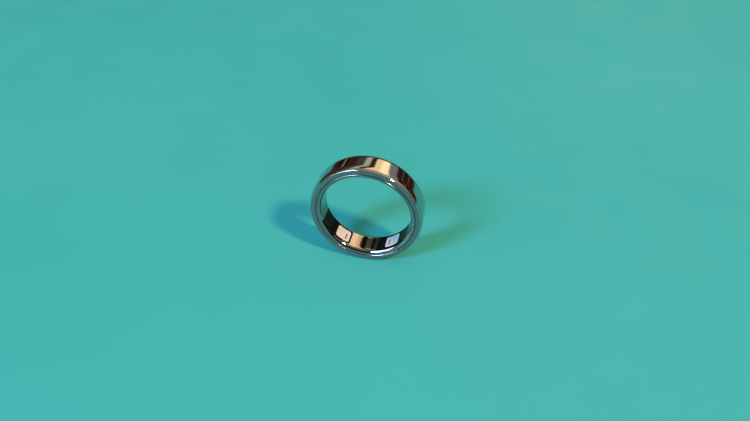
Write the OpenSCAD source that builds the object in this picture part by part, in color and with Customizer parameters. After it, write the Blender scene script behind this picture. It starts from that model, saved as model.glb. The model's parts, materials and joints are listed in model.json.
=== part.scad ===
// Smart ring: a polished metal shell, a mirror-coated liner with three sensor windows, and
// the curved board, battery, coil and antenna that are sealed between them.
// The finger's axis lies along Y, the palm side with the windows is down (-Z), and the
// origin is the middle of the bore. Pieces are drawn round Z first and then laid down.

/* [Band] */
// Inner diameter, where the finger goes
bore_d = 20.6; // [19:0.1:23]
// Wall from the bore to the outer face
wall = 2.6; // [2.55:0.05:3]
// Width of the band along the finger
band_w = 5.9; // [5.6:0.1:8]
// Width of the crowned part on each side of the outer face's flat
crown_w = 1.45; // [1.2:0.05:1.6]
// Radius of the small edge between the crown and a side face
outer_edge = 0.1; // [0.06:0.01:0.16]
// Radius of each inner edge
inner_round = 0.85; // [0.5:0.05:0.9]
// Radius of the lips on both sides of a seam
lip_round = 0.12; // [0.06:0.01:0.16]

/* [Shell and liner] */
// Thickness of the shell under its outer face
shell_t = 0.4; // [0.3:0.01:0.4]
// Thickness of the side cheeks
cheek_t = 0.55; // [0.4:0.01:0.6]
// Thickness of the liner between its two rims
liner_t = 0.35; // [0.25:0.01:0.35]
// Width of the seam between a cheek and the liner's rim
seam_gap = 0.14; // [0.1:0.01:0.2]
// Depth of the seam's sealing bead below the side face
seam_sink = 0.08; // [0:0.01:0.3]

/* [Sensor windows] */
// Length of a window round the finger
window_len = 3.6; // [3.5:0.05:3.9]
// Straight part of the bore left on each side of a window
window_margin = 0.3; // [0.2:0.05:0.4]
// Corner radius of a window
window_corner = 0.6; // [0.3:0.05:0.9]
// Angle from the middle window to each side window
window_angle_step = 35; // [33:0.5:44]

/* [Board] */
// Angle from one stiff island to the next
island_angle_step = 27.5; // [26.5:0.5:29]
// Height of the board's stiff islands above the liner
board_lift = 0.35; // [0.35:0.01:0.38]
// Thickness of the stiff islands
island_t = 0.3; // [0.2:0.01:0.32]
// Length of an island round the finger
island_len = 3.8; // [3.6:0.05:4]
// Gap between an island and a cheek
island_side = 0.3; // [0.1:0.05:0.35]
// Thickness of the flexible strip between and beyond the islands
flex_t = 0.1; // [0.08:0.01:0.1]
// Width of the flexible links between islands
flex_w = 3; // [2:0.1:4]

/* [Battery] */
// Room between the curved cell and the resin sleeve outside it
battery_gap = 0.03; // [0.03:0.01:0.4]
// Gap between the cell and a cheek
battery_side = 0.3; // [0.05:0.05:0.8]
// Angle covered by the cell's thick part
battery_arc = 130; // [100:1:132]
// Angle from the palm side to the cell's middle, on the side of its tabs
battery_turn = 0; // [-2:0.5:4]

/* [Charging coil] */
// Turns of the flat receiving coil
coil_turns = 5; // [3:1:6]
// Gap between the coil and a cheek
coil_side = 0.35; // [0.25:0.05:0.5]
// Width of the copper track
coil_track = 0.18; // [0.1:0.01:0.2]
// Space between two tracks
coil_space = 0.12; // [0.08:0.01:0.12]

/* [Hidden] */

// Facets of a full turn, of an edge rounding and of a small post
$fn = 120;
round_fn = 48;
post_fn = 24;

// Clearances: between pieces that slide together, and under soldered or bonded faces
slip = 0.03;
seat = 0.02;
// Length by which a cut runs past what it cuts, or a fused piece runs into its neighbour
overrun = 0.1;
fuse = 0.02;
// Reach of a rounding's cut, as a share of its radius
cut_share = 3;

// Radii and widths of the band
bore_r = bore_d / 2;
outer_r = bore_r + wall;
liner_r = bore_r + liner_t;
cavity_r = outer_r - shell_t;
cavity_w = band_w - 2 * cheek_t;
// Flat of the liner's side between its rounded edge and its lip
rim_land = 0.02;
rim_r = bore_r + inner_round + rim_land + lip_round;
cheek_r = rim_r + seam_gap;
// Crown of the outer face: the angle it turns through before the small edge, and its radius
crown_angle = 36;
crown_round = (crown_w - outer_edge) / sin(crown_angle) + outer_edge;
// Gap on each side of the sealing bead
bead_slip = 0.02;

// Angles round the finger, counted from +X towards the back of the hand
back_angle = 90;
palm_angle = 270;
full_turn = 360;

// Windows: the flange behind the liner and the lens's outer face
window_w = band_w - 2 * (inner_round + window_margin);
flange_reach = 0.25;
flange_t = 0.15;
lens_r = liner_r + slip + flange_t;
window_angles = [for (side = [-1, 0, 1]) palm_angle + side * window_angle_step];

// Board: six flat islands over the back of the finger, counted from the right, and a
// flexible strip that goes on past the left side to the sensors on the palm side
board_r = liner_r + board_lift;
island_w = cavity_w - 2 * island_side;
island_angles = [for (i = [0:5]) back_angle + (i - 3) * island_angle_step];
island_half_angle = atan2(island_len / 2, board_r);
face_r = board_r + island_t;
island_corner_r = norm([face_r, island_len / 2]);
chip_r = face_r + seat;
// The strip meets each island just above its inner face
strip_step = 0.02;
strip_r = norm([board_r + strip_step, island_len / 2]);
strip_out = strip_r + flex_t;
strip_w = island_w - overrun;
strip_end_angle = palm_angle + 70;
bite_angle = 0.8;

// Solder balls under a chip
ball_h = 0.06;
ball_d = 0.24;
ball_pitch = 0.5;

// Gap between neighbours on an island
part_gap = 0.15;

// Capacitors stand in rows along the islands' edges, and each row takes a lane
capacitor_size = [0.3, 0.6, 0.3];
capacitor_end = 0.15;
end_step = 0.02;
capacitor_pitch = capacitor_size[1] + part_gap;
capacitor_lane = capacitor_size[2] + 2 * part_gap;

// Chips as height, length round the finger and width along it
processor_size = [0.65, 3, island_w - 2 * capacitor_lane];
front_end_size = [0.55, 2.6, island_w - 2 * capacitor_lane - part_gap];
memory_size = [0.5, 1.6, 2];
power_size = [0.55, 2, 2];
protection_size = [0.5, 1.5, 1.6];
crystal_size = [0.4, 1.2, 1.6];
motion_size = [0.7, island_len - crystal_size[1] - 4 * part_gap, 2];
crystal_lid = 0.12;
inductor_size = [0.65, 1.6, (island_w - power_size[2] - 3 * part_gap) / 2];
inductor_end = 0.3;
inductor_gap = 0.05;

// Optical parts on the inner face of the strip, and the walls between them
baffle_wall = 0.15;
emitter_cell = 0.85;
cell_corner = 0.1;
optics_r = strip_r - seat;
cell_w = window_w - 2 * baffle_wall;
side_cell = (window_len - 3 * baffle_wall) / 2;
diode_cell = (window_len - 4 * baffle_wall - emitter_cell) / 2;
side_cell_at = (side_cell + baffle_wall) / 2;
diode_cell_at = (emitter_cell + diode_cell) / 2 + baffle_wall;
optics_gap = 0.45;
emitter_gap = 0.5;
diode_gap = 0.08;
diode_size = [0.25, diode_cell - 2 * diode_gap, cell_w - 2 * optics_gap];
emitter_size = [0.25, 0.65, (cell_w - emitter_gap) / 2 - optics_gap];
emitter_z = (emitter_size[2] + emitter_gap) / 2;

// Skin temperature sensor and the pad between it and the liner
temperature_size = [0.25, 1, 0.6];
temperature_angle = palm_angle - window_angle_step / 2;
pad_len = 1.6;
pad_w = 1.4;

// Resin sleeve between the electronics and the shell
sleeve_t = 0.13;
sleeve_out = cavity_r - slip;
sleeve_r = sleeve_out - sleeve_t;
sleeve_w = cavity_w - 2 * slip;
lump_gap_angle = 0.8;
strip_end_gap_angle = 1;

// Battery: it wraps the palm side outside the strip, and its sealed end and tabs lie to the right
battery_pad_t = 0.05;
battery_pad_r = strip_out + seat;
battery_r = battery_pad_r + battery_pad_t + seat;
battery_t = sleeve_r - battery_gap - battery_r;
battery_w = cavity_w - 2 * battery_side;
battery_round = 0.3;
battery_low_angle = palm_angle + battery_turn - battery_arc / 2;
battery_high_angle = palm_angle + battery_turn + battery_arc / 2;
terrace_arc = 5;
terrace_t = 0.12;
tab_t = 0.08;
tab_w = 0.9;
tab_at = 1.1;
tab_r = max(island_corner_r, battery_r + terrace_t) + seat;
// The tabs start inside the sealed end's arc and end above the first island
tab_bite_angle = 1;
tab_over_angle = 3;
tab_low_angle = battery_high_angle + tab_bite_angle;
tab_high_angle = island_angles[0] - island_half_angle + tab_over_angle + full_turn;

// Coil: film, copper spiral, return strip and ferrite sheet, under the islands
coil_w = cavity_w - 2 * coil_side;
coil_arc = 62;
film_t = 0.05;
film_edge = 0.05;
film_r = liner_r + slip;
track_t = 0.06;
track_r = film_r + film_t + seat;
coil_pitch = coil_track + coil_space;
// The spiral is drawn flat as its middle sees it, so its length is the arc's chord
coil_half_len = track_r * sin(coil_arc / 2) - coil_track / 2;
coil_half_w = (coil_w - coil_track) / 2;
bridge_r = track_r + track_t + seat;
bridge_t = 0.03;
lead_d = 0.14;
ferrite_r = bridge_r + bridge_t + seat;
ferrite_t = 0.08;
ferrite_low_angle = back_angle - coil_arc / 2;
// It stops short of the spiral's ends, where the leads rise
ferrite_short_angle = 2;
ferrite_high_angle = back_angle + coil_arc / 2 - ferrite_short_angle;

// Antenna on the left: moulded carrier, meandering strip and feed pin
carrier_low_angle = 161;
carrier_high_angle = 199;
carrier_r = strip_out + slip;
carrier_t = 0.66;
carrier_side = 0.3;
carrier_w = cavity_w - 2 * carrier_side;
carrier_skin = 0.15;
carrier_rib = 0.5;
carrier_pockets = 3;
antenna_r = carrier_r + carrier_t + seat;
antenna_t = 0.08;
antenna_w = carrier_w - 2 * carrier_side;
antenna_low_angle = 157.5;
antenna_high_angle = 200;
antenna_slots = 6;
antenna_slot = 0.4;
antenna_line = 0.6;
feed_d = 0.3;
feed_at = 1.2;
feed_angle = 158.8;

// Angle in degrees that a length spans on a circle
function turned(length, radius) = length / radius * 180 / PI;

// Corners of the coil's track: half a turn's length and width, and the four ways outwards
function turn_len(turn) = coil_half_len - turn * coil_pitch;
function turn_w(turn) = coil_half_w - turn * coil_pitch;
outward = [[-1, 1], [-1, -1], [1, -1], [1, 1]];
coil_corners = [
    for (turn = [0:coil_turns - 1], i = [0:3])
        if (turn < coil_turns - 1 || i < 3)
            [outward[i], [outward[i][0] * turn_len(turn), outward[i][1] * turn_w(i < 3 ? turn : turn + 1)]]
];

// One edge of the track, to the left or right of its middle line
function coil_edge(side) = [
    for (corner = coil_corners) corner[1] + side * corner[0] * coil_track / 2
];

// Lays the drawing down so that its axis is the finger's axis
module laid_down() {
    rotate([90, 0, 0]) children();
}

// Curved bar of rectangular section from one angle to another, centred on height z
module bar(r_in, r_out, width, from, to, z = 0) {
    translate([0, 0, z])
        rotate([0, 0, from])
            rotate_extrude(angle = to - from)
                translate([r_in, -width / 2])
                    square([r_out - r_in, width]);
}

// Closed ring of rectangular section between two heights
module hoop(r_in, r_out, z_low, z_high) {
    rotate_extrude()
        translate([r_in, z_low])
            square([r_out - r_in, z_high - z_low]);
}

module rounded_rectangle(length, width, corner) {
    square([length - 2 * corner, width], center = true);
    square([length, width - 2 * corner], center = true);
    for (x = [-1, 1], y = [-1, 1])
        translate([x * (length / 2 - corner), y * (width / 2 - corner)])
            circle(r = corner, $fn = round_fn);
}

// Prism along the radius at an angle; its outline is drawn as length round the finger by width
module radial_prism(angle, from_r, to_r) {
    rotate([0, 0, angle])
        translate([from_r, 0, 0])
            rotate([90, 0, 90])
                linear_extrude(to_r - from_r)
                    children();
}

// Box at an angle, standing on a radius; size is height, length and width
module block(angle, radius, size, at = 0, z = 0) {
    rotate([0, 0, angle])
        translate([radius, at - size[1] / 2, z - size[2] / 2])
            cube(size);
}

// Round post along the radius
module post(angle, from_r, to_r, diameter, at = 0, z = 0) {
    rotate([0, 0, angle])
        translate([from_r, at, z])
            rotate([0, 90, 0])
                cylinder(h = to_r - from_r, d = diameter, $fn = post_fn);
}

// Section across the band from one radius to another, with its inner edges rounded
module wall_section(r_low, r_high, radius) {
    difference() {
        translate([r_low, -band_w / 2])
            square([r_high - r_low, band_w]);
        for (side = [-1, 1])
            edge_cut(r_low + radius, radius, -1, side);
    }
}

// What a rounding takes off a square corner at a side face
module edge_cut(r_at, radius, r_way, side) {
    reach = radius + overrun;
    z_at = side * (band_w / 2 - radius);
    difference() {
        translate([r_way > 0 ? r_at : r_at - reach, side > 0 ? z_at : z_at - reach])
            square([reach, reach]);
        translate([r_at, z_at])
            circle(r = radius, $fn = round_fn);
    }
}

// What lies outside a circle between two directions from its centre
module arc_cut(centre, radius, low_angle, high_angle) {
    reach = radius * cut_share;
    difference() {
        polygon([
            centre,
            centre + reach * [cos(low_angle), sin(low_angle)],
            centre + reach * [cos(high_angle), sin(high_angle)]
        ]);
        translate(centre)
            circle(r = radius, $fn = round_fn);
    }
}

// What the crown and the small edge beside it take off the outer face
module crown_cut() {
    crown_at = [outer_r - crown_round, band_w / 2 - crown_w];
    edge_at = crown_at + (crown_round - outer_edge) * [cos(crown_angle), sin(crown_angle)];
    arc_cut(crown_at, crown_round, 0, crown_angle);
    arc_cut(edge_at, outer_edge, crown_angle, 90);
}

module outer_shell() {
    color("silver") laid_down() rotate_extrude() difference() {
        wall_section(cheek_r, outer_r, lip_round);
        for (way = [0, 1])
            mirror([0, way])
                crown_cut();
        translate([cheek_r - overrun, -cavity_w / 2])
            square([cavity_r - cheek_r + overrun, cavity_w]);
    }
}

module inner_liner() {
    color("gainsboro") laid_down() difference() {
        rotate_extrude() difference() {
            wall_section(bore_r, rim_r, inner_round);
            for (side = [-1, 1])
                edge_cut(rim_r - lip_round, lip_round, 1, side);
            translate([liner_r, -cavity_w / 2])
                square([rim_r - liner_r + overrun, cavity_w]);
        }
        for (angle = window_angles)
            radial_prism(angle, bore_r - window_len, rim_r)
                rounded_rectangle(window_len, window_w, window_corner);
    }
}

// Bead of dark sealant that fills the seam and keeps the liner apart from the shell
module seam_bead(side) {
    low = cavity_w / 2;
    high = band_w / 2 - seam_sink;
    color("dimgray") laid_down()
        hoop(rim_r + bead_slip, cheek_r - bead_slip, side > 0 ? low : -high, side > 0 ? high : -low);
}

module front_seam_bead() {
    seam_bead(1);
}

module rear_seam_bead() {
    seam_bead(-1);
}

// Curved window, flush with the bore, with a flange that stops behind the liner
module sensor_window(angle) {
    half_arc = 30;
    laid_down() union() {
        intersection() {
            bar(bore_r, lens_r, cavity_w, angle - half_arc, angle + half_arc);
            radial_prism(angle, 0, outer_r)
                rounded_rectangle(window_len - 2 * slip, window_w - 2 * slip, window_corner - slip);
        }
        intersection() {
            bar(liner_r + slip, lens_r, cavity_w, angle - half_arc, angle + half_arc);
            radial_prism(angle, 0, outer_r)
                rounded_rectangle(window_len + 2 * flange_reach, window_w + 2 * flange_reach, window_corner);
        }
    }
}

module left_window() {
    color([0.85, 0.84, 0.82]) sensor_window(window_angles[0]);
}

module centre_window() {
    color([0.07, 0.07, 0.08]) sensor_window(window_angles[1]);
}

module right_window() {
    color([0.85, 0.84, 0.82]) sensor_window(window_angles[2]);
}

// Opaque frame that stands on a window and keeps the emitters' light off the diodes
module baffle(angle, cells) {
    half_arc = 30;
    intersection() {
        bar(lens_r + slip, optics_r, window_w, angle - half_arc, angle + half_arc);
        radial_prism(angle, 0, outer_r) difference() {
            rounded_rectangle(window_len, window_w, window_corner);
            for (cell = cells)
                translate([cell[0], 0])
                    rounded_rectangle(cell[1], cell_w, cell_corner);
        }
    }
}

module light_baffles() {
    side_cells = [[-side_cell_at, side_cell], [side_cell_at, side_cell]];
    middle_cells = [[-diode_cell_at, diode_cell], [0, emitter_cell], [diode_cell_at, diode_cell]];
    color("black") laid_down() {
        baffle(window_angles[0], side_cells);
        baffle(window_angles[1], middle_cells);
        baffle(window_angles[2], side_cells);
    }
}

// Board of six stiff islands on one flexible strip, which goes on to carry the sensor parts
module circuit_board() {
    last = len(island_angles) - 1;
    color("darkgreen") laid_down() union() {
        for (angle = island_angles)
            block(angle, board_r, [island_t, island_len, island_w]);
        for (i = [0:last - 1])
            bar(
                strip_r, strip_out, flex_w,
                island_angles[i] + island_half_angle - bite_angle,
                island_angles[i + 1] - island_half_angle + bite_angle
            );
        bar(strip_r, strip_out, strip_w, island_angles[last] + island_half_angle - bite_angle, strip_end_angle);
    }
}

// Places along one side of a grid that is centred on zero
function grid(length) = let (n = floor((length - ball_d) / ball_pitch))
    [for (i = [0:n]) (i - n / 2) * ball_pitch];

// Chip on a grid of solder balls
module chip(angle, size, at = 0, z = 0) {
    union() {
        block(angle, chip_r + ball_h, [size[0] - ball_h, size[1], size[2]], at, z);
        for (t = grid(size[1]), w = grid(size[2]))
            post(angle, chip_r, chip_r + ball_h + fuse, ball_d, at + t, z + w);
    }
}

// Part with a metal terminal at each end of its length
module end_capped(angle, radius, size, cap, at = 0, z = 0) {
    union() {
        block(angle, radius + end_step, [size[0] - 2 * end_step, size[1] - cap, size[2] - 2 * end_step], at, z);
        for (side = [-1, 1])
            block(angle, radius, [size[0], cap, size[2]], at + side * (size[1] - cap) / 2, z);
    }
}

module sensor_front_end() {
    color([0.12, 0.12, 0.13]) laid_down() chip(island_angles[4], front_end_size);
}

// The motion sensor shares its island with the crystal
motion_at = -(island_len - motion_size[1]) / 2 + part_gap;
motion_z = -(island_w - motion_size[2]) / 2 + part_gap;
crystal_at = (island_len - crystal_size[1]) / 2 - part_gap / 2;

module motion_sensor() {
    color([0.2, 0.2, 0.22]) laid_down() chip(island_angles[5], motion_size, motion_at, motion_z);
}

module timing_crystal() {
    color("goldenrod") laid_down() union() {
        block(island_angles[5], chip_r, [crystal_size[0] - crystal_lid, crystal_size[1], crystal_size[2]],
            crystal_at, motion_z);
        block(island_angles[5], chip_r + crystal_size[0] - crystal_lid - fuse,
            [crystal_lid + fuse, crystal_size[1] - part_gap, crystal_size[2] - part_gap], crystal_at, motion_z);
    }
}

module processor_chip() {
    color([0.1, 0.1, 0.11]) laid_down() chip(island_angles[3], processor_size);
}

module memory_chip() {
    color([0.16, 0.16, 0.17]) laid_down() chip(island_angles[2], memory_size);
}

// The power chip and its two inductors fill one island
power_z = -(island_w - power_size[2]) / 2 + part_gap / 2;
inductor_z = power_z + (power_size[2] + inductor_size[2]) / 2 + part_gap;

module power_chip() {
    color([0.14, 0.14, 0.15]) laid_down() chip(island_angles[1], power_size, 0, power_z);
}

module power_inductors() {
    color("gray") laid_down() for (i = [0:1])
        end_capped(island_angles[1], chip_r, inductor_size, inductor_end, 0,
            inductor_z + i * (inductor_size[2] + inductor_gap));
}

// The protection chip stays clear of the battery tabs, which end on the same island
protection_at = (island_len - protection_size[1]) / 2 - part_gap;

module protection_chip() {
    color([0.15, 0.15, 0.16]) laid_down() chip(island_angles[0], protection_size, protection_at, 0);
}

// Rows of capacitors: beside the front end and the processor, and round the memory
module capacitor_row(angle, count, z) {
    for (i = [0:count - 1])
        end_capped(angle, chip_r, capacitor_size, capacitor_end, (i - (count - 1) / 2) * capacitor_pitch, z);
}

function beside(size) = (size[2] + capacitor_size[2]) / 2 + part_gap;

module ceramic_capacitors() {
    color("tan") laid_down() {
        for (side = [-1, 1]) {
            capacitor_row(island_angles[4], 3, side * beside(front_end_size));
            capacitor_row(island_angles[3], 4, side * beside(processor_size));
            capacitor_row(island_angles[2], 3, side * beside(memory_size));
        }
        capacitor_row(island_angles[5], 4, motion_z + beside(motion_size));
    }
}

// Sensor parts hang from the inner face of the strip, square to the radius where they are
module inner_part(angle, size, at, z) {
    block(angle + turned(at, optics_r), optics_r - size[0], size, 0, z);
}

module photodiodes() {
    color("midnightblue") laid_down() for (side = [-1, 1]) {
        inner_part(window_angles[1], diode_size, side * diode_cell_at, 0);
        inner_part(window_angles[1 + side], diode_size, side * side_cell_at, 0);
    }
}

// One emitter in the middle window's middle cell, and one in the inner cell of each side window
module emitters(z) {
    inner_part(window_angles[1], emitter_size, 0, z);
    for (side = [-1, 1])
        inner_part(window_angles[1 + side], emitter_size, -side * side_cell_at, z);
}

module green_emitters() {
    color("limegreen") laid_down() emitters(emitter_z);
}

module red_infrared_emitters() {
    color("firebrick") laid_down() emitters(-emitter_z);
}

module skin_temperature_sensor() {
    color("white") laid_down() inner_part(temperature_angle, temperature_size, 0, 0);
}

// Soft pad that carries the skin's warmth from the liner to the sensor
module thermal_pad() {
    half_arc = 10;
    color("lightpink") laid_down() difference() {
        radial_prism(temperature_angle, bore_r, optics_r - temperature_size[0] - seat)
            square([pad_len, pad_w], center = true);
        bar(0, liner_r + seat, band_w, temperature_angle - half_arc, temperature_angle + half_arc);
    }
}

// Curved pouch cell with rounded long edges and a thin sealed end where the tabs leave
module battery_cell() {
    color("lightsteelblue") laid_down() union() {
        rotate([0, 0, battery_low_angle])
            rotate_extrude(angle = battery_arc)
                translate([battery_r + battery_t / 2, 0])
                    rounded_rectangle(battery_t, battery_w, battery_round);
        bar(battery_r, battery_r + terrace_t, battery_w - 2 * battery_round,
            battery_high_angle - turned(fuse, battery_r), battery_high_angle + terrace_arc);
    }
}

module battery_tabs() {
    color("lightgray") laid_down() for (side = [-1, 1])
        bar(tab_r, tab_r + tab_t, tab_w, tab_low_angle, tab_high_angle, side * tab_at);
}

// Thin adhesive pad that holds the cell on the strip
module battery_pad() {
    color("ivory") laid_down()
        bar(battery_pad_r, battery_pad_r + battery_pad_t, battery_w - 2 * battery_round,
            battery_low_angle, battery_high_angle);
}

module coil_film() {
    edge_angle = turned(coil_track, film_r);
    color("chocolate") laid_down()
        bar(film_r, film_r + film_t, coil_w + 2 * film_edge,
            back_angle - coil_arc / 2 - edge_angle, back_angle + coil_arc / 2 + edge_angle);
}

// Outline of one unbroken rectangular spiral that starts and ends near the board
module coil_outline() {
    half = coil_track / 2;
    end_w = turn_w(coil_turns);
    outer_edge = coil_edge(1);
    inner_edge = coil_edge(-1);
    last = len(inner_edge) - 1;
    polygon(concat(
        [[coil_half_len + half, coil_half_w + half]],
        outer_edge,
        [[turn_len(coil_turns - 1) + half, end_w + half], [turn_len(coil_turns - 1) - half, end_w + half]],
        [for (i = [0:last]) inner_edge[last - i]],
        [[coil_half_len + half, coil_half_w - half]]
    ));
}

module charging_coil() {
    color("darkorange") laid_down() intersection() {
        bar(track_r, track_r + track_t, coil_w + coil_pitch, back_angle - coil_arc, back_angle + coil_arc);
        radial_prism(back_angle, 0, outer_r) coil_outline();
    }
}

// Two posts up to an island; a strip over the turns brings the spiral's inner end out
module coil_leads() {
    end_w = turn_w(coil_turns);
    post_angle = back_angle + asin(coil_half_len / track_r);
    end_angle = back_angle + asin(turn_len(coil_turns - 1) / track_r);
    track_angle = turned(coil_track, track_r);
    color("peru") laid_down() {
        post(post_angle, bridge_r, board_r - seat, lead_d, 0, coil_half_w);
        union() {
            bar(bridge_r, bridge_r + bridge_t, coil_track,
                end_angle - track_angle / 2, post_angle + track_angle / 2, end_w);
            post(post_angle, bridge_r + bridge_t / 2, board_r - seat, lead_d, 0, end_w);
        }
    }
}

module ferrite_sheet() {
    color("darkslategray") laid_down()
        bar(ferrite_r, ferrite_r + ferrite_t, coil_w + 2 * film_edge, ferrite_low_angle, ferrite_high_angle);
}

// Moulded block that holds the antenna off the strip, hollowed from inside between ribs
module antenna_carrier() {
    out_r = carrier_r + carrier_t;
    rib_angle = turned(carrier_rib, out_r);
    pocket_angle = (carrier_high_angle - carrier_low_angle - rib_angle) / carrier_pockets;
    color("whitesmoke") laid_down() difference() {
        bar(carrier_r, out_r, carrier_w, carrier_low_angle, carrier_high_angle);
        for (i = [0:carrier_pockets - 1])
            bar(carrier_r - overrun, out_r - carrier_skin, carrier_w - 2 * carrier_rib,
                carrier_low_angle + rib_angle + i * pocket_angle, carrier_low_angle + (i + 1) * pocket_angle);
    }
}

// Flat strip cut from alternate sides into a meander
module radio_antenna() {
    slot_angle = turned(antenna_slot, antenna_r);
    slot_step_angle = (antenna_high_angle - antenna_low_angle) / (antenna_slots + 1);
    color("goldenrod") laid_down() difference() {
        bar(antenna_r, antenna_r + antenna_t, antenna_w, antenna_low_angle, antenna_high_angle);
        for (i = [1:antenna_slots])
            bar(antenna_r - overrun, antenna_r + antenna_t + overrun, antenna_w,
                antenna_low_angle + i * slot_step_angle - slot_angle / 2,
                antenna_low_angle + i * slot_step_angle + slot_angle / 2,
                (i % 2 == 0 ? -1 : 1) * antenna_line);
    }
}

module antenna_feed() {
    color("gold") laid_down() post(feed_angle, strip_out + seat, antenna_r - seat, feed_d, 0, feed_at);
}

// Lump of resin from a radius out into the sleeve
module lump(r_in, low_angle, high_angle) {
    bar(r_in, sleeve_r + fuse, sleeve_w, low_angle + lump_gap_angle, high_angle - lump_gap_angle);
}

// Clear resin: a sleeve inside the shell with lumps between the parts, and two blocks that
// back the strip on the left and the tabs on the right
module resin_fill() {
    last = len(island_angles) - 1;
    color([0.85, 0.8, 0.6]) laid_down() {
        union() {
            hoop(sleeve_r, sleeve_out, -sleeve_w / 2, sleeve_w / 2);
            for (i = [0:last - 1])
                lump(strip_out + seat, island_angles[i] + island_half_angle, island_angles[i + 1] - island_half_angle);
            lump(strip_out + seat, antenna_high_angle, battery_low_angle);
            lump(tab_r + tab_t + seat, battery_high_angle, island_angles[0] - island_half_angle + full_turn);
        }
        bar(liner_r + slip, strip_r - seat, sleeve_w, carrier_low_angle, carrier_high_angle);
        bar(liner_r + slip, tab_r - seat, sleeve_w,
            battery_high_angle + terrace_arc + lump_gap_angle + strip_end_gap_angle,
            island_angles[0] - island_half_angle - lump_gap_angle + full_turn);
    }
}

outer_shell();
inner_liner();
front_seam_bead();
rear_seam_bead();
left_window();
centre_window();
right_window();
light_baffles();
circuit_board();
processor_chip();
memory_chip();
sensor_front_end();
motion_sensor();
power_chip();
protection_chip();
timing_crystal();
ceramic_capacitors();
power_inductors();
photodiodes();
green_emitters();
red_infrared_emitters();
skin_temperature_sensor();
thermal_pad();
battery_cell();
battery_tabs();
battery_pad();
coil_film();
charging_coil();
coil_leads();
ferrite_sheet();
antenna_carrier();
radio_antenna();
antenna_feed();
resin_fill();
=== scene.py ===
"""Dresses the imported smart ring: fine visible pieces, materials, camera, floor and light."""

import json
import math

import bmesh
import bpy
from mathutils import Matrix, Vector


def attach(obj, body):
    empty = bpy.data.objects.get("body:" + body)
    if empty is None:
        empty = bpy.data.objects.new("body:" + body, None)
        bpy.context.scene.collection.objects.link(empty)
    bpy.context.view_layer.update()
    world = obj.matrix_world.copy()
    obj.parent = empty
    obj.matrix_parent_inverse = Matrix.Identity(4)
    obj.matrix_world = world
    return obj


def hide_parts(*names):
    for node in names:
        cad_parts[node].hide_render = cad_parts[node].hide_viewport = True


MM = 0.001
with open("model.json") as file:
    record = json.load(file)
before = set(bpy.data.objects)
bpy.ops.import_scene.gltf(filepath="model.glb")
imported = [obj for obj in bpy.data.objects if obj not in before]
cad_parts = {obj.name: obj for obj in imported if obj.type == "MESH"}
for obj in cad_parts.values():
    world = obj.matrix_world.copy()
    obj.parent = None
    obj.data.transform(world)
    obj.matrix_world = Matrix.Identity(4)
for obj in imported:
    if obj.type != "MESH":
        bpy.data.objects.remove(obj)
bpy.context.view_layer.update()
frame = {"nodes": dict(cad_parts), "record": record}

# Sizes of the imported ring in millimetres. The finger's axis is Y, and the palm side is -Z.
BORE_R = 10.3  # inside of the liner
LINER_R = 10.65  # outside of the liner between its rims
LENS_R = 10.83  # outside of the windows
RIM_R = 11.29  # outside of the liner's rims
CHEEK_R = 11.43  # inside of the shell's cheeks
CAVITY_R = 12.5  # floor of the shell's channel
OUTER_R = 12.9
HALF_W = 2.95
CAVITY_HALF_W = 2.4
CROWN_W = 1.45  # how much of the outer face is crowned on each side
CROWN_ANGLE = math.radians(36)  # how far the crown turns before the small edge
OUTER_EDGE = 0.1
CROWN_ROUND = (CROWN_W - OUTER_EDGE) / math.sin(CROWN_ANGLE) + OUTER_EDGE
INNER_ROUND = 0.85
LIP_ROUND = 0.12
SEAM_SINK = 0.08  # how far the beads lie below the side faces
BEAD_SLIP = 0.02
BEAD_DISH = 0.03
WINDOW_LEN = 3.6
WINDOW_W = 3.6
WINDOW_CORNER = 0.6
FLANGE = 0.25
SLIP = 0.03  # gap between a window and the liner
OPENING_END_R = RIM_R - 0.1  # where the cutters of the openings end, in the open channel
OVERCUT = 1  # how far other cutters reach past what they cut
FLOOR_Z = -OUTER_R

# Angles round the finger in degrees, from +X over +Z
FULL_TURN = 360
PALM_ANGLE = 270
WINDOW_ANGLE_STEP = 35
WINDOW_HALF_TURN = 16  # half the arc that a window is cut from
WINDOW_ANGLES = {
    "left_window": PALM_ANGLE - WINDOW_ANGLE_STEP,
    "centre_window": PALM_ANGLE,
    "right_window": PALM_ANGLE + WINDOW_ANGLE_STEP,
}

# How finely round forms are cut, and the angle from which an edge is sharp
TURN_STEPS = 480
WINDOW_STEPS = 48
CORNER_STEPS = 14
LIP_STEPS = 8
BEAD_STEPS = 6
SHARP_DEGREES = 28

SLOTS = {row["node"]: row["material_slot"] for row in frame["record"]["subparts"]}


# Mesh building


def arc_corner(before, corner, after, radius, steps):
    """Points that round one corner of a closed outline."""
    p, q, r = Vector(before), Vector(corner), Vector(after)
    to_before, to_after = (p - q).normalized(), (r - q).normalized()
    half = to_before.angle(to_after) / 2
    reach = radius / math.tan(half)
    centre = q + (to_before + to_after).normalized() * (radius / math.sin(half))
    start, end = q + to_before * reach - centre, q + to_after * reach - centre
    turn = start.angle_signed(end)
    points = []
    for i in range(steps + 1):
        angle = -turn * i / steps
        c, s = math.cos(angle), math.sin(angle)
        points.append((centre.x + start.x * c - start.y * s, centre.y + start.x * s + start.y * c))
    return points


def filleted(corners):
    """Closed outline from corners given as x, y, radius, steps."""
    points = []
    for i, (x, y, radius, steps) in enumerate(corners):
        if radius <= 0:
            points.append((x, y))
            continue
        before, after = corners[i - 1][:2], corners[(i + 1) % len(corners)][:2]
        points.extend(arc_corner(before, (x, y), after, radius, steps))
    return points


def add_object(name, data):
    obj = bpy.data.objects.new(name, data)
    bpy.context.scene.collection.objects.link(obj)
    return obj


def shade(mesh):
    mesh.polygons.foreach_set("use_smooth", [True] * len(mesh.polygons))
    mesh.set_sharp_from_angle(angle=math.radians(SHARP_DEGREES))


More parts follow.
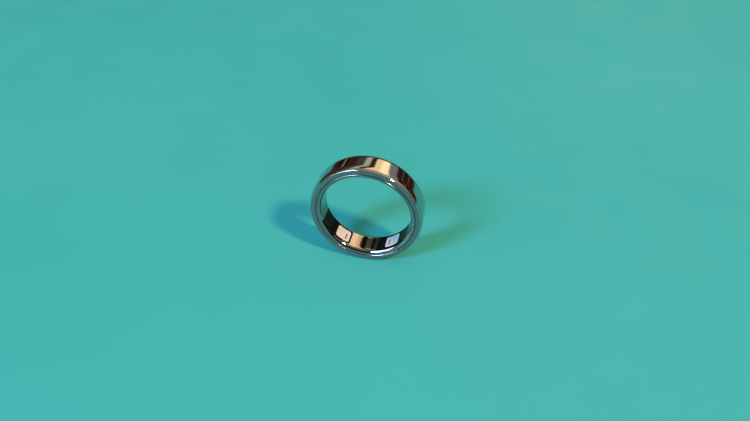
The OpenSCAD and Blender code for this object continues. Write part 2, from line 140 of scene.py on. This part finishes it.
def finish_mesh(name, bm):
    bmesh.ops.recalc_face_normals(bm, faces=bm.faces)
    mesh = bpy.data.meshes.new(name)
    bm.to_mesh(mesh)
    bm.free()
    shade(mesh)
    return add_object(name, mesh)


def bridge(bm, row, following):
    """Faces between two closed rows of points."""
    for j in range(len(row)):
        k = (j + 1) % len(row)
        bm.faces.new((row[j], row[k], following[k], following[j]))


def lathe(name, outline, steps=TURN_STEPS, from_degrees=0, turn_degrees=FULL_TURN):
    """Turns an outline of radius and place along the finger round the finger's axis."""
    closed = turn_degrees >= FULL_TURN
    bm = bmesh.new()
    rows = []
    for i in range(steps if closed else steps + 1):
        angle = math.radians(from_degrees + turn_degrees * i / steps)
        c, s = math.cos(angle) * MM, math.sin(angle) * MM
        rows.append([bm.verts.new((r * c, y * MM, r * s)) for r, y in outline])
    for row, following in zip(rows, rows[1:] + rows[:1] if closed else rows[1:]):
        bridge(bm, row, following)
    if not closed:
        bm.faces.new(rows[0])
        bm.faces.new(rows[-1])
    return finish_mesh(name, bm)


def from_axes(x, y, z):
    """Matrix that turns the three axes into the given directions."""
    return Matrix((x, y, z)).transposed().to_4x4()


def radial_frame(degrees):
    """Matrix whose local x runs round the finger, y along it and z outwards."""
    a = math.radians(degrees)
    outward = Vector((math.cos(a), 0, math.sin(a)))
    along = Vector((0, 1, 0))
    return from_axes(along.cross(outward), along, outward)


def radial_cutter(degrees, length, width, corner, low, high):
    """Rounded rectangle pulled along the radius from one radius to another."""
    x, y = length / 2, width / 2
    signs = ((1, 1), (-1, 1), (-1, -1), (1, -1))
    outline = filleted([(sx * x, sy * y, corner, CORNER_STEPS) for sx, sy in signs])
    bm = bmesh.new()
    ends = [[bm.verts.new((px * MM, py * MM, z * MM)) for px, py in outline] for z in (low, high)]
    for end in ends:
        bm.faces.new(end)
    bridge(bm, *ends)
    cutter = finish_mesh("cutter", bm)
    cutter.data.transform(radial_frame(degrees))
    return cutter


def combine(obj, other, operation):
    """Applies one exact boolean and removes the other object."""
    modifier = obj.modifiers.new("cut", "BOOLEAN")
    modifier.operation = operation
    modifier.solver = "EXACT"
    modifier.object = other
    bpy.context.view_layer.update()
    graph = bpy.context.evaluated_depsgraph_get()
    mesh = bpy.data.meshes.new_from_object(obj.evaluated_get(graph))
    obj.modifiers.clear()
    obj.data = mesh
    bpy.data.objects.remove(other)


# Node trees

# Range that most of a noise lies in
NOISE_LOW, NOISE_MIDDLE, NOISE_HIGH = 0.3, 0.5, 0.7
DEGREES_PER_RADIAN = 57.3


class Nodes:
    """Short way to build a node tree."""

    def __init__(self, tree):
        self.tree = tree

    def add(self, kind, inputs=None, **settings):
        node = self.tree.nodes.new(kind)
        for key, value in settings.items():
            setattr(node, key, value)
        for key, value in (inputs or {}).items():
            if isinstance(value, bpy.types.NodeSocket):
                self.tree.links.new(value, node.inputs[key])
            else:
                node.inputs[key].default_value = value
        return node

    def math(self, operation, a, b=0.0):
        return self.add("ShaderNodeMath", {0: a, 1: b}, operation=operation).outputs[0]

    def coordinates(self, kind="Object"):
        return self.add("ShaderNodeTexCoord").outputs[kind]

    def split(self, vector):
        return self.add("ShaderNodeSeparateXYZ", {"Vector": vector}).outputs

    def vector(self, **axes):
        return self.add("ShaderNodeCombineXYZ", axes).outputs["Vector"]

    def ray_kind(self):
        return self.add("ShaderNodeLightPath").outputs

    def noise(self, scale, detail=4.0, roughness=0.5, vector=None, distortion=0.0):
        return self.add(
            "ShaderNodeTexNoise",
            {
                "Vector": vector or self.coordinates(),
                "Scale": scale,
                "Detail": detail,
                "Roughness": roughness,
                "Distortion": distortion,
            },
        ).outputs["Fac"]

    def spread(self, value, low, high, from_low=NOISE_LOW, from_high=NOISE_HIGH):
        """Number that goes from low to high as a noise does."""
        return self.add(
            "ShaderNodeMapRange",
            {
                "Value": value,
                "From Min": from_low,
                "From Max": from_high,
                "To Min": low,
                "To Max": high,
            },
        ).outputs["Result"]

    def step(self, value, start, end):
        """Goes softly from 0 at start to 1 at end."""
        return self.add(
            "ShaderNodeMapRange",
            {"Value": value, "From Min": start, "From Max": end},
            interpolation_type="SMOOTHSTEP",
        ).outputs["Result"]

    def band(self, value, low, high, soft):
        """1 between two limits and 0 outside, with soft ends."""
        rising, falling = self.step(value, low - soft, low), self.step(value, high + soft, high)
        return self.math("MULTIPLY", rising, falling)

    def mix(self, factor, first, second):
        inputs = {"Fac": factor, "Color1": first, "Color2": second}
        return self.add("ShaderNodeMixRGB", inputs).outputs["Color"]

    def ramp(self, value, stops):
        node = self.add("ShaderNodeValToRGB", {"Fac": value})
        elements = node.color_ramp.elements
        while len(elements) < len(stops):
            elements.new(0.5)
        for element, (position, colour) in zip(elements, stops):
            element.position = position
            element.color = (*colour, 1)
        return node.outputs["Color"]

    def tint(self, value, low, high):
        """Colour that goes from low to high as a noise does."""
        return self.ramp(value, [(NOISE_LOW, low), (NOISE_HIGH, high)])

    def polar(self):
        """Angle round the finger from 0 to 360 degrees, place along the finger, and radius."""
        split = self.split(self.coordinates())
        angle = self.math("DEGREES", self.math("ARCTAN2", split["Z"], split["X"]))
        flat = self.vector(X=split["X"], Z=split["Z"])
        radius = self.add("ShaderNodeVectorMath", {0: flat}, operation="LENGTH").outputs["Value"]
        return self.math("FLOORED_MODULO", angle, float(FULL_TURN)), split["Y"], radius

    def around(self, along_scale, round_scale):
        """Coordinates that stretch a texture round the finger."""
        angle, along, radius = self.polar()
        return self.vector(
            X=self.math("MULTIPLY", angle, round_scale / DEGREES_PER_RADIAN),
            Y=self.math("MULTIPLY", along, along_scale),
            Z=self.math("MULTIPLY", radius, along_scale),
        )

    def bump(self, height, strength, distance, normal=None):
        inputs = {"Height": height, "Strength": strength, "Distance": distance}
        if normal is not None:
            inputs["Normal"] = normal
        return self.add("ShaderNodeBump", inputs).outputs["Normal"]


class Surface(Nodes):
    """Node material with a Principled shader."""

    def __init__(self, name):
        self.material = bpy.data.materials.new(name)
        self.material.use_nodes = True
        super().__init__(self.material.node_tree)
        self.shader = self.tree.nodes["Principled BSDF"]

    def finish(self, **inputs):
        """Sets or links the shader's inputs, named with _ for each space."""
        for key, value in inputs.items():
            socket = self.shader.inputs[key.replace("_", " ")]
            if isinstance(value, bpy.types.NodeSocket):
                self.tree.links.new(value, socket)
            else:
                socket.default_value = value
        return self.material


# Materials. Sizes here are in millimetres and angles in degrees, and colours are linear.

# Mirror polish of shell and liner, satin on the side faces and with hairlines round the ring
# Painted shade: the shell's side faces take a darker, pinkish colour than its polish, which turns
# their mirror of the teal floor dark grey
SIDE_FACE_SHADE_COLOURS = ((0.42, 0.275, 0.275), (0.46, 0.305, 0.305))
SATIN_START, SATIN_FULL = 0.02, 0.004  # below the side faces
SEAM_MARGIN, SEAM_SOFT, SEAM_DEPTH = 0.02, 0.03, 0.2  # of the duller zone at a seam
SEAM_DULLNESS = 0.12
HAIR_DULLNESS, HAIR_LOW, HAIR_HIGH = 0.015, 0.45, 0.75  # only the strongest hairlines are dull
HAIR_BUMP, HAIR_DEPTH = 0.008, 0.02
HAIRS_ALONG, HAIRS_ROUND = 9000, 14
WAVE_DEPTH = 0.4

# Windows
GLASS_IOR = 1.5
GLASS_BUMP, GLASS_DEPTH = 0.03, 0.2

# Black patches on the liner beside the side windows: from and to an angle, and half the width
INK_PATCHES = ((197, 224, 2.72), (222, 247, 1.95), (283, 343, 2.5))
INK_SOFT_DEGREES, INK_SOFT = 0.3, 0.03
INK_COLOURS = ((0.004, 0.006, 0.006), (0.008, 0.010, 0.010))
INK_IOR = 1.12

# The emitter that shows through each side window: angles from the palm, and place along the finger
EMITTER_FROM_PALM, EMITTER_SOFT_DEGREES = (29.4, 30.8), 1.0
EMITTER_ALONG, EMITTER_SOFT = (-1.0, 0.7), 0.3
EMITTER_COLOUR, EMITTER_STRENGTH = (0.20, 0.10, 0.12, 1), 0.8

# Plastic, rubber, ceramic and resin: darker and paler colour, roughness, scale and strength of
# the grain, and transmission
MOULDED = (
    ("dark_sealant", (0.006, 0.006, 0.007), (0.014, 0.014, 0.015), (0.35, 0.6), 700, 0.25),
    ("black_plastic", (0.006, 0.006, 0.007), (0.012, 0.012, 0.013), (0.5, 0.75), 700, 0.25),
    ("board_green", (0.010, 0.085, 0.035), (0.016, 0.12, 0.05), (0.25, 0.45), 900, 0.25),
    ("chip_black", (0.015, 0.015, 0.017), (0.03, 0.03, 0.033), (0.45, 0.7), 1500, 0.25),
    ("tan_ceramic", (0.38, 0.25, 0.14), (0.50, 0.35, 0.20), (0.3, 0.55), 1800, 0.25),
    ("grey_ferrite", (0.05, 0.055, 0.06), (0.09, 0.095, 0.10), (0.4, 0.7), 1200, 0.25),
    ("diode_blue", (0.012, 0.016, 0.06), (0.02, 0.028, 0.09), (0.06, 0.14), 900, 0.05),
    ("emitter_green", (0.08, 0.42, 0.12), (0.14, 0.55, 0.18), (0.12, 0.25), 700, 0.05),
    ("emitter_red", (0.38, 0.025, 0.02), (0.50, 0.04, 0.03), (0.12, 0.25), 700, 0.05),
    ("white_ceramic", (0.62, 0.62, 0.60), (0.72, 0.72, 0.70), (0.3, 0.5), 1400, 0.25),
    ("soft_pad", (0.50, 0.44, 0.42), (0.60, 0.54, 0.51), (0.6, 0.85), 600, 0.5),
    ("amber_film", (0.34, 0.12, 0.015), (0.44, 0.17, 0.025), (0.2, 0.35), 700, 0.1),
    ("white_plastic", (0.66, 0.66, 0.65), (0.74, 0.74, 0.73), (0.4, 0.6), 1000, 0.25),
    ("clear_resin", (0.52, 0.48, 0.34), (0.62, 0.58, 0.42), (0.15, 0.3), 500, 0.1, 0.5),
)
GRAIN_DEPTH = 0.03

# Foil, plating and bare wire: darker and paler colour, and roughness
ROLLED = (
    ("gilt_metal", (0.72, 0.50, 0.18), (0.85, 0.62, 0.26), (0.18, 0.34)),
    ("cell_foil", (0.58, 0.60, 0.62), (0.70, 0.72, 0.74), (0.25, 0.45)),
    ("tab_nickel", (0.52, 0.50, 0.46), (0.62, 0.60, 0.56), (0.22, 0.4)),
    ("copper", (0.75, 0.33, 0.17), (0.86, 0.44, 0.26), (0.2, 0.38)),
)
LINES_ALONG, LINES_ROUND = 6000, 30
LINE_BUMP, LINE_DEPTH = 0.3, 0.02


def on_side_faces(n):
    """1 on the flat side faces and 0 elsewhere."""
    _, along, _ = n.polar()
    from_middle = n.math("ABSOLUTE", along)
    return n.step(from_middle, (HALF_W - SATIN_START) * MM, (HALF_W - SATIN_FULL) * MM)


def on_seam_lips(n):
    """1 on the lips of the two seams and 0 elsewhere."""
    _, along, radius = n.polar()
    low = (RIM_R - LIP_ROUND - SEAM_MARGIN) * MM
    high = (CHEEK_R + LIP_ROUND + SEAM_MARGIN) * MM
    from_middle = n.math("ABSOLUTE", along)
    return n.math(
        "MULTIPLY",
        n.band(radius, low, high, SEAM_SOFT * MM),
        n.step(from_middle, CAVITY_HALF_W * MM, (HALF_W - SEAM_DEPTH) * MM),
    )


def mirror(n, low, high, rough, waviness, satin):
    """Colour, roughness and normal of a mirror polish with faint haze, hairlines round the finger
    and slow waviness, which is satin on the side faces and a little duller at the seams."""
    haze = n.noise(scale=260, detail=5, roughness=0.6)
    round_ring = n.around(HAIRS_ALONG, HAIRS_ROUND)
    hairs = n.noise(scale=1, detail=3, roughness=0.65, vector=round_ring)
    waves = n.noise(scale=190, detail=1.5, roughness=0.4)
    scratched = n.spread(hairs, 0.0, HAIR_DULLNESS, HAIR_LOW, HAIR_HIGH)
    gloss = n.math("ADD", n.spread(haze, *rough), scratched)
    sides = n.math("MULTIPLY", on_side_faces(n), satin)
    seams = n.math("MULTIPLY", on_seam_lips(n), SEAM_DULLNESS)
    return (
        n.tint(haze, low, high),
        n.math("ADD", gloss, n.math("ADD", sides, seams)),
        n.bump(hairs, HAIR_BUMP, HAIR_DEPTH * MM, n.bump(waves, waviness, WAVE_DEPTH * MM)),
    )


def polished_metal(name):
    """Rather dark polished metal of the shell, satin on its side faces, which also carry a darker,
    warmer colour as painted shade.
    """
    n = Surface(name)
    colour, roughness, normal = mirror(
        n, (0.46, 0.465, 0.46), (0.51, 0.515, 0.51), rough=(0.02, 0.05), waviness=0.015, satin=0.26
    )
    # Painted shade: darker, warmer colour on the side faces, standing in for a darker reflection
    satin = n.tint(n.noise(scale=420, detail=4, roughness=0.55), *SIDE_FACE_SHADE_COLOURS)
    return n.finish(
        Base_Color=n.mix(on_side_faces(n), colour, satin),
        Metallic=1.0,
        Roughness=roughness,
        Normal=normal,
    )


def mirror_liner(name):
    """Mirror coat of the liner, with black gloss patches beside the side windows."""
    n = Surface(name)
    colour, roughness, normal = mirror(
        n, (0.33, 0.305, 0.31), (0.38, 0.35, 0.355), rough=(0.04, 0.08), waviness=0.02, satin=0.2
    )
    angle, along, _ = n.polar()
    from_middle = n.math("ABSOLUTE", along)
    inked = 0.0
    for low, high, half_w in INK_PATCHES:
        patch = n.math(
            "MULTIPLY",
            n.band(angle, low, high, INK_SOFT_DEGREES),
            n.step(from_middle, (half_w + INK_SOFT) * MM, half_w * MM),
        )
        inked = n.math("MAXIMUM", inked, patch)
    ink = n.tint(n.noise(scale=900, detail=3), *INK_COLOURS)
    return n.finish(
        Base_Color=n.mix(inked, colour, ink),
        Metallic=n.math("SUBTRACT", 1.0, inked),
        Roughness=roughness,
        IOR=INK_IOR,
        Normal=normal,
    )


def glass_waves(n):
    return n.bump(n.noise(scale=240, detail=2), GLASS_BUMP, GLASS_DEPTH * MM)


def dark_glass(name):
    """Smoked glass of the middle window, with faint smears."""
    n = Surface(name)
    smears = n.noise(scale=420, detail=4, roughness=0.55, distortion=0.6)
    return n.finish(
        Base_Color=n.tint(smears, (0.20, 0.22, 0.22), (0.26, 0.28, 0.28)),
        Roughness=n.spread(smears, 0.015, 0.06),
        IOR=GLASS_IOR,
        Transmission_Weight=1.0,
        Normal=glass_waves(n),
    )


def milky_glass(name):
    """Cloudy resin of a side window, with the dark mark of the emitter that shows through it."""
    n = Surface(name)
    clouds = n.noise(scale=600, detail=5, roughness=0.6, distortion=0.4)
    angle, along, _ = n.polar()
    from_palm = n.math("ABSOLUTE", n.math("SUBTRACT", angle, float(PALM_ANGLE)))
    uneven = n.math("ADD", along, n.spread(clouds, -EMITTER_SOFT * MM, EMITTER_SOFT * MM))
    low, high = EMITTER_ALONG
    emitter = n.math(
        "MULTIPLY",
        n.band(from_palm, *EMITTER_FROM_PALM, EMITTER_SOFT_DEGREES),
        n.band(uneven, low * MM, high * MM, EMITTER_SOFT * MM),
    )
    milk = n.tint(clouds, (0.76, 0.75, 0.73), (0.90, 0.89, 0.87))
    return n.finish(
        Base_Color=n.mix(n.math("MULTIPLY", emitter, EMITTER_STRENGTH), milk, EMITTER_COLOUR),
        Roughness=n.spread(n.noise(scale=300, detail=3), 0.05, 0.12),
        IOR=GLASS_IOR,
        Transmission_Weight=0.1,
        Normal=glass_waves(n),
    )


def moulded(name, low, high, rough, scale, grain, transmission=0.0):
    """Small shifts of colour and gloss over a fine grain."""
    n = Surface(name)
    return n.finish(
        Base_Color=n.tint(n.noise(scale / 4, detail=4), low, high),
        Roughness=n.spread(n.noise(scale / 2, detail=5), *rough),
        Normal=n.bump(n.noise(scale * 4, detail=6, roughness=0.6), grain, GRAIN_DEPTH * MM),
        Transmission_Weight=transmission,
    )


def rolled_metal(name, low, high, rough):
    """Metal with stains, and with marks that run round the finger."""
    n = Surface(name)
    round_ring = n.around(LINES_ALONG, LINES_ROUND)
    lines = n.noise(scale=1, detail=5, roughness=0.6, vector=round_ring)
    return n.finish(
        Base_Color=n.tint(n.noise(scale=300, detail=4), low, high),
        Metallic=1.0,
        Roughness=n.spread(lines, *rough),
        Normal=n.bump(lines, LINE_BUMP, LINE_DEPTH * MM),
    )


def build_materials():
    """Materials by slot."""
    materials = {
        "polished_metal": polished_metal("polished_metal"),
        "mirror_liner": mirror_liner("mirror_liner"),
        "dark_window": dark_glass("dark_window"),
        "milky_window": milky_glass("milky_window"),
    }
    materials.update({row[0]: moulded(*row) for row in MOULDED})
    materials.update({row[0]: rolled_metal(*row) for row in ROLLED})
    return materials


def dress(obj, material):
    obj.data.materials.clear()
    obj.data.materials.append(material)


def dress_nodes(materials):
    """Gives every carried-over node the material of its slot."""
    for name, obj in frame["nodes"].items():
        dress(obj, materials[SLOTS[name]])


# Fine visible pieces. Outlines are in radius and place along the finger.


def arc(centre, radius, first, last, steps):
    """Points of an arc as corners without a radius, with angles from the radial direction."""
    angles = [first + (last - first) * i / steps for i in range(steps + 1)]
    x, y = centre
    return [(x + radius * math.cos(a), y + radius * math.sin(a), 0, 0) for a in angles]


def crowned_edge(side):
    """From a side face over the small edge and the crown to the flat of the outer face."""
    x, y = OUTER_R - CROWN_ROUND, side * (HALF_W - CROWN_W)
    reach = CROWN_ROUND - OUTER_EDGE
    edge = (x + reach * math.cos(CROWN_ANGLE), y + side * reach * math.sin(CROWN_ANGLE))
    points = arc(edge, OUTER_EDGE, side * math.pi / 2, side * CROWN_ANGLE, LIP_STEPS)
    return points[:-1] + arc((x, y), CROWN_ROUND, side * CROWN_ANGLE, 0, CORNER_STEPS)


def shell_outline():
    return filleted(
        [(CHEEK_R, HALF_W, LIP_ROUND, LIP_STEPS)]
        + crowned_edge(1)
        + crowned_edge(-1)[::-1]
        + [
            (CHEEK_R, -HALF_W, LIP_ROUND, LIP_STEPS),
            (CHEEK_R, -CAVITY_HALF_W, 0, 0),
            (CAVITY_R, -CAVITY_HALF_W, 0, 0),
            (CAVITY_R, CAVITY_HALF_W, 0, 0),
            (CHEEK_R, CAVITY_HALF_W, 0, 0),
        ]
    )


def liner_outline():
    return filleted(
        [
            (RIM_R, HALF_W, LIP_ROUND, LIP_STEPS),
            (BORE_R, HALF_W, INNER_ROUND, CORNER_STEPS),
            (BORE_R, -HALF_W, INNER_ROUND, CORNER_STEPS),
            (RIM_R, -HALF_W, LIP_ROUND, LIP_STEPS),
            (RIM_R, -CAVITY_HALF_W, 0, 0),
            (LINER_R, -CAVITY_HALF_W, 0, 0),
            (LINER_R, CAVITY_HALF_W, 0, 0),
            (RIM_R, CAVITY_HALF_W, 0, 0),
        ]
    )


def bead_outline(side):
    """Section of the sealant, dished where it faces out of the seam."""
    low, high = RIM_R + BEAD_SLIP, CHEEK_R - BEAD_SLIP
    inner, outer = CAVITY_HALF_W, HALF_W - SEAM_SINK
    face = []
    for i in range(BEAD_STEPS + 1):
        t = i / BEAD_STEPS
        face.append((low + (high - low) * t, side * (outer - BEAD_DISH * 4 * t * (1 - t))))
    return [(high, side * inner), (low, side * inner)] + face


def curved_plate(name, degrees, low, grow, corner):
    """Plate between two radii, larger than a window's opening by grow on each side."""
    section = [
        (low, CAVITY_HALF_W),
        (LENS_R, CAVITY_HALF_W),
        (LENS_R, -CAVITY_HALF_W),
        (low, -CAVITY_HALF_W),
    ]
    start = degrees - WINDOW_HALF_TURN
    plate = lathe(name, section, WINDOW_STEPS, start, 2 * WINDOW_HALF_TURN)
    length, width = WINDOW_LEN + 2 * grow, WINDOW_W + 2 * grow
    bottom, top = BORE_R - OVERCUT, LENS_R + OVERCUT
    combine(plate, radial_cutter(degrees, length, width, corner, bottom, top), "INTERSECT")
    return plate


def window(name, degrees):
    """Curved lens flush with the bore, with its flange behind the liner."""
    lens = curved_plate(name, degrees, BORE_R, -SLIP, WINDOW_CORNER - SLIP)
    flange = curved_plate("flange", degrees, LINER_R + SLIP, FLANGE, WINDOW_CORNER)
    combine(lens, flange, "UNION")
    shade(lens.data)
    return lens


def pierced_liner(name):
    """Liner with its three window openings."""
    liner = lathe(name, liner_outline())
    for degrees in WINDOW_ANGLES.values():
        bottom = BORE_R - 2 * OVERCUT
        opening = (WINDOW_LEN, WINDOW_W, WINDOW_CORNER)
        combine(liner, radial_cutter(degrees, *opening, bottom, OPENING_END_R), "DIFFERENCE")
    shade(liner.data)
    return liner


def build_fine_pieces(materials):
    def put(piece, node):
        slot = SLOTS[node]
        dress(piece, materials[slot])
        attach(piece, "root")
        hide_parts(node)

    put(lathe("shell_polished", shell_outline()), "outer_shell")
    put(pierced_liner("liner_mirror"), "inner_liner")
    for node, side in (("front_seam_bead", -1), ("rear_seam_bead", 1)):
        put(lathe(node + "_fine", bead_outline(side)), node)
    for node, degrees in WINDOW_ANGLES.items():
        put(window(node + "_fine", degrees), node)


# Camera. Its place is in millimetres to its right, up and back from the middle of the ring.

CAMERA_AZIMUTH = math.radians(12.04)
CAMERA_ELEVATION = math.radians(38.43)
CAMERA_PLACE = (1.670, -0.376, 147.11)
CAMERA_LENS = 31.2
CAMERA_SENSOR = 36
CAMERA_CLIP = (0.005, 20)


def build_camera():
    a, e = CAMERA_AZIMUTH, CAMERA_ELEVATION
    right = Vector((math.cos(a), math.sin(a), 0))
    back = Vector((math.sin(a) * math.cos(e), -math.cos(a) * math.cos(e), math.sin(e)))
    up = back.cross(right)
    x, y, z = CAMERA_PLACE
    place = (right * x + up * y + back * z) * MM
    data = bpy.data.cameras.new("camera")
    data.sensor_width = CAMERA_SENSOR
    data.lens = CAMERA_LENS
    data.clip_start, data.clip_end = CAMERA_CLIP
    camera = add_object("camera", data)
    camera.matrix_world = Matrix.Translation(place) @ from_axes(right, up, back)
    bpy.context.scene.camera = camera


# Floor, in metres. The teal sheet ends a little way from the ring, so that the polished metal
# mirrors the dark floor past it. The camera sees teal everywhere.

FLOOR_HALF_SIZE = 3.0
SHEET_X, SHEET_Y, SHEET_SOFT = (-0.32, 0.2), (-0.3, 0.3), 0.01
TEAL = ((0.048, 0.45, 0.43), (0.056, 0.48, 0.46))
BARE_FLOOR = (0.02, 0.03, 0.03, 1)
FLOOR_ROUGHNESS, FLOOR_SPECULAR = (0.45, 0.6), 0.3


def build_floor():
    bm = bmesh.new()
    place = Matrix.Translation((0, 0, FLOOR_Z * MM))
    bmesh.ops.create_grid(bm, x_segments=1, y_segments=1, size=FLOOR_HALF_SIZE, matrix=place)
    floor = finish_mesh("floor", bm)
    n = Surface("pale_floor")
    split = n.split(n.coordinates())
    sheet = n.math(
        "MULTIPLY",
        n.band(split["X"], *SHEET_X, SHEET_SOFT),
        n.band(split["Y"], *SHEET_Y, SHEET_SOFT),
    )
    shown = n.math("MAXIMUM", sheet, n.ray_kind()["Is Camera Ray"])
    material = n.finish(
        Base_Color=n.mix(shown, BARE_FLOOR, n.tint(n.noise(scale=9, detail=3), *TEAL)),
        Roughness=n.spread(n.noise(scale=60, detail=3), *FLOOR_ROUGHNESS),
        Specular_IOR_Level=FLOOR_SPECULAR,
    )
    dress(floor, material)


# Room and lamps. Directions are in degrees: turn is the angle round the finger's axis, and rise
# the angle from square to that axis towards the far side.

# Upright panels of the room that the band mirrors from right to left: from and to an angle round
# the finger, softness of the ends, and light
ROOM_PANELS = (
    (43, 43.3, 1.5, (0.14, 0.09, 0.06)),  # thin slat
    (50, 50.3, 1.5, (0.18, 0.13, 0.10)),  # thin slat
    (58.5, 66, 3, (0.30, 0.28, 0.32)),  # curtain
    (68, 80.5, 5, (1.60, 1.08, 0.55)),  # window
    (70, 73, 10, (2.20, 1.62, 0.92)),  # brightest part of the window
    (88.5, 92.5, 6, (0.66, 0.67, 0.50)),  # pale wall
    (96, 99, 10, (0.085, 0.08, 0.052)),  # shaded wall
    (116, 116.4, 1.5, (0.42, 0.35, 0.30)),  # thin slat
)
MIRROR_TURN = 74  # the band mirrors to the camera twice its own angle less this
DRIFT = 14.0  # how far the panels' edges wander
LEAN, LEAN_TURN, LEAN_RISE = 0.35, (78, 100), 48.0  # panels past this turn lean below this rise

# Walls behind the panels, and the haze below them by turn
WALL_LIGHT = [
    (0.35, (0.016, 0.013, 0.009)),
    (0.5, (0.045, 0.017, 0.012)),
    (0.65, (0.13, 0.028, 0.018)),
]
WALL_SCALE_TURN, WALL_SCALE_RISE = 0.13, 0.01
HAZE_LIGHT = [
    (0.0, (0.14, 0.12, 0.09)),
    (0.2, (0.38, 0.26, 0.20)),
    (0.38, (0.72, 0.50, 0.39)),
    (0.55, (0.50, 0.34, 0.27)),
    (0.7, (0.18, 0.17, 0.15)),
    (1.0, (0.10, 0.12, 0.12)),
]
HAZE_BEFORE, HAZE_SPAN = 30.0, 240.0

# Rises between which one part of the room gives way to the next
HAZE_TO_WALLS, HAZE_EDGE_DRIFT = (2, 14), 1.5
WALLS_TO_DARK = (62, 70)
HAZE_TO_DARK = (-24, -32)
DARK = (0.03, 0.034, 0.034, 1)

# Cool panel by turn and rise, with the softness of its ends
COOL_TURN, COOL_RISE, COOL_LIGHT = (119, 161, 3), (-46, -10, 2), (3.0, 3.9, 4.6, 1)

AMBIENT = (0.2, 0.36, 0.35, 1)  # light on all that doesn't mirror the room
BACKDROP = (0.1, 0.48, 0.45, 1)  # what the camera sees past the floor

LAMP_DISTANCE = 3.0


def towards(turn, rise):
    """Direction at a turn and a rise."""
    a, b = math.radians(turn), math.radians(rise)
    return Vector((math.cos(b) * math.cos(a), math.sin(b), math.cos(b) * math.sin(a)))


def lamp(name, direction, angles, power, colour):
    """Rectangular lamp that covers the given angles round the finger's axis and along it."""
    data = bpy.data.lights.new(name, "AREA")
    data.shape = "RECTANGLE"
    data.size, data.size_y = (2 * LAMP_DISTANCE * math.tan(math.radians(a / 2)) for a in angles)
    data.energy = power
    data.color = colour
    across = Vector((0, 1, 0)).cross(direction).normalized()
    turn = from_axes(across, direction.cross(across), direction)
    add_object(name, data).matrix_world = Matrix.Translation(direction * LAMP_DISTANCE) @ turn


def mirrored_turn(degrees):
    """Turn of what the band mirrors to the camera at an angle round the finger."""
    return 2 * degrees - MIRROR_TURN


def build_room():
    """Dim room with a bright window behind the ring, which the polished metal mirrors."""
    world = bpy.data.worlds.new("room")
    bpy.context.scene.world = world
    world.use_nodes = True
    n = Nodes(world.node_tree)
    ray = n.coordinates("Generated")
    split = n.split(ray)
    turn = n.math("DEGREES", n.math("ARCTAN2", split["Z"], split["X"]))
    rise = n.math("DEGREES", n.math("ARCSINE", split["Y"]))

    patches = n.noise(scale=3.2, detail=4, roughness=0.55, vector=ray)
    wander = n.math("SUBTRACT", patches, NOISE_MIDDLE)
    drift = n.math("MULTIPLY", wander, DRIFT)
    below = n.math("MAXIMUM", n.math("SUBTRACT", LEAN_RISE, rise), 0.0)
    lean = n.math("MULTIPLY", n.math("MULTIPLY", n.step(turn, *LEAN_TURN), below), LEAN)
    uneven = n.math("SUBTRACT", n.math("ADD", turn, drift), lean)

    upright = n.vector(
        X=n.math("MULTIPLY", uneven, WALL_SCALE_TURN), Y=n.math("MULTIPLY", rise, WALL_SCALE_RISE)
    )
    walls = n.ramp(n.noise(scale=1, detail=3, roughness=0.6, vector=upright), WALL_LIGHT)
    for low, high, soft, light in ROOM_PANELS:
        panel = n.band(uneven, mirrored_turn(low), mirrored_turn(high), soft)
        walls = n.mix(panel, walls, (*light, 1))

    haze = n.ramp(n.math("DIVIDE", n.math("ADD", turn, HAZE_BEFORE), HAZE_SPAN), HAZE_LIGHT)
    low_edge = n.math("ADD", rise, n.math("MULTIPLY", drift, HAZE_EDGE_DRIFT))
    room = n.mix(n.step(low_edge, *HAZE_TO_WALLS), haze, walls)
    room = n.mix(n.step(rise, *WALLS_TO_DARK), room, DARK)
    room = n.mix(n.step(rise, *HAZE_TO_DARK), room, DARK)
    cool = n.math("MULTIPLY", n.band(turn, *COOL_TURN), n.band(rise, *COOL_RISE))
    room = n.mix(cool, room, COOL_LIGHT)

    ray_kind = n.ray_kind()
    mirrored = n.math("MAXIMUM", ray_kind["Is Glossy Ray"], ray_kind["Is Transmission Ray"])
    seen = n.mix(mirrored, AMBIENT, room)
    seen = n.mix(ray_kind["Is Camera Ray"], seen, BACKDROP)
    background = n.tree.nodes["Background"]
    n.tree.links.new(seen, background.inputs["Color"])
    background.inputs["Strength"].default_value = 1.0


def build_lamps():
    warm, cool = towards(turn=51, rise=-21), towards(turn=128, rise=-40)
    lamp("warm_lamp", warm, angles=(6, 6), power=84.0, colour=(1.0, 0.52, 0.25))
    lamp("cool_lamp", cool, angles=(18, 11), power=66.0, colour=(0.42, 0.60, 1.0))


slot_materials = build_materials()
dress_nodes(slot_materials)
build_fine_pieces(slot_materials)
build_camera()
build_floor()
build_room()
build_lamps()
bpy.context.scene.view_settings.view_transform = "Standard"
